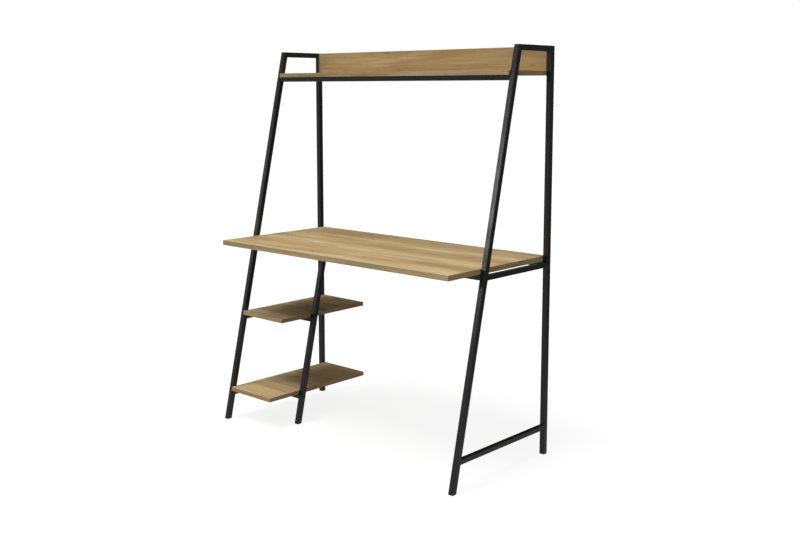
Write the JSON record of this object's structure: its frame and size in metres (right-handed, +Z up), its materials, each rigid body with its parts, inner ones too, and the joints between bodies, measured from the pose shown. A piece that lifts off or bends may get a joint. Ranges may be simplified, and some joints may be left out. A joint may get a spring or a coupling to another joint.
{
  "type": "ladder desk",
  "caption": "Free-standing desk between two leaning tube frames, with an oak-effect desktop, a top shelf with a back board, and small side shelves under one end.",
  "frame": {"origin": "on the floor, under the middle of the desk's width and of the desktop's depth", "axes": "+X to the right as seen by a person at the desk, +Y to the rear, away from that person, +Z up"},
  "size_m": [1.2, 0.55, 1.478],
  "materials": {
    "black_frame": "black powder coat, satin, fine texture",
    "oak_board": "oak-effect decor on particle board, matt, grain along the board",
    "oak_edge_band": "oak-effect edge band, matt",
    "black_plastic": "moulded black plastic, matt",
    "zinc_screw": "zinc plated",
    "beech_dowel": "plain beech, fluted"
  },
  "bodies": {
    "root": {"back_board": "oak_board", "back_board_edge_bands": "oak_edge_band", "back_board_screws": "zinc_screw", "back_board_tabs": "black_frame", "desk_front_rail": "black_frame", "desk_front_rail_stubs": "black_frame", "desk_rail_screws": "zinc_screw", "desk_rail_washers": "black_plastic", "desk_rear_rail": "black_frame", "desk_rear_rail_stubs": "black_frame", "desk_tab_screws": "zinc_screw", "desktop": "oak_board", "desktop_edge_bands": "oak_edge_band", "head_plate_screws": "zinc_screw", "inner_glide": "black_plastic", "inner_leg": "black_frame", "inner_leg_head_plate": "black_frame", "left_desk_rail": "black_frame", "left_desk_tab": "black_frame", "left_front_glide": "black_plastic", "left_front_leg": "black_frame", "left_lower_shelf_rail": "black_frame", "left_rear_glide": "black_plastic", "left_rear_post": "black_frame", "left_top_rail": "black_frame", "left_upper_shelf_rail": "black_frame", "lower_shelf": "oak_board", "lower_shelf_cross_rail": "black_frame", "lower_shelf_cross_rail_stub": "black_frame", "lower_shelf_edge_bands": "oak_edge_band", "lower_shelf_rail_screws": "zinc_screw", "lower_shelf_tab_screws": "zinc_screw", "lower_shelf_tabs": "black_frame", "rail_locking_screws": "zinc_screw", "right_desk_rail": "black_frame", "right_desk_tab": "black_frame", "right_foot_rail": "black_frame", "right_front_glide": "black_plastic", "right_front_leg": "black_frame", "right_rear_glide": "black_plastic", "right_rear_post": "black_frame", "right_top_rail": "black_frame", "top_shelf": "oak_board", "top_shelf_dowels": "beech_dowel", "top_shelf_edge_bands": "oak_edge_band", "top_shelf_joining_screws": "zinc_screw", "top_shelf_rail": "black_frame", "top_shelf_rail_stubs": "black_frame", "top_shelf_screws": "zinc_screw", "upper_shelf": "oak_board", "upper_shelf_cross_rail": "black_frame", "upper_shelf_cross_rail_stub": "black_frame", "upper_shelf_edge_bands": "oak_edge_band", "upper_shelf_rail_screws": "zinc_screw", "upper_shelf_tab_screws": "zinc_screw", "upper_shelf_tabs": "black_frame"}
  },
  "joints": []
}
